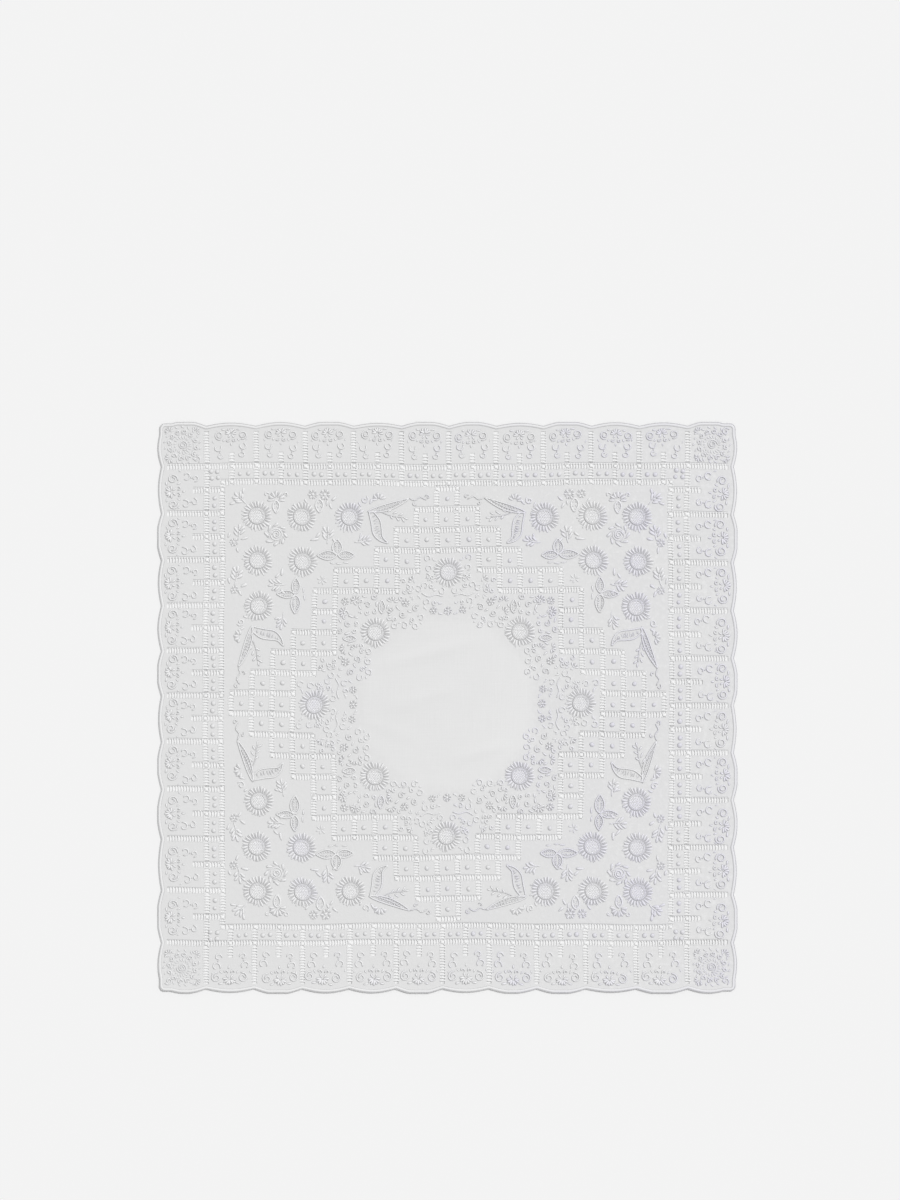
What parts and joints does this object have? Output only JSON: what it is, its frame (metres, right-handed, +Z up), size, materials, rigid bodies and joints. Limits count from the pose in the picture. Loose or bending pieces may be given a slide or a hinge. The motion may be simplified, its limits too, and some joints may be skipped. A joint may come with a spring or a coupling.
{
  "type": "linen handkerchief",
  "caption": "Square white linen handkerchief laid flat, with a scalloped edge, drawn-thread ladder frames, a stepped ring of small squares and padded whitework flowers.",
  "frame": {"origin": "the middle of the flat underside, under the centre of the cloth's bounding box", "axes": "+Z up from the surface that the cloth lies on, +Y towards the edge at the top of the picture, +X to the right in the picture"},
  "size_m": [0.4, 0.394, 0.0017],
  "materials": {
    "white_linen": "fine white linen in plain weave, matt, with white whitework embroidery that has a soft silky sheen"
  },
  "bodies": {
    "root": {"handkerchief_cloth": "white_linen"}
  },
  "joints": []
}
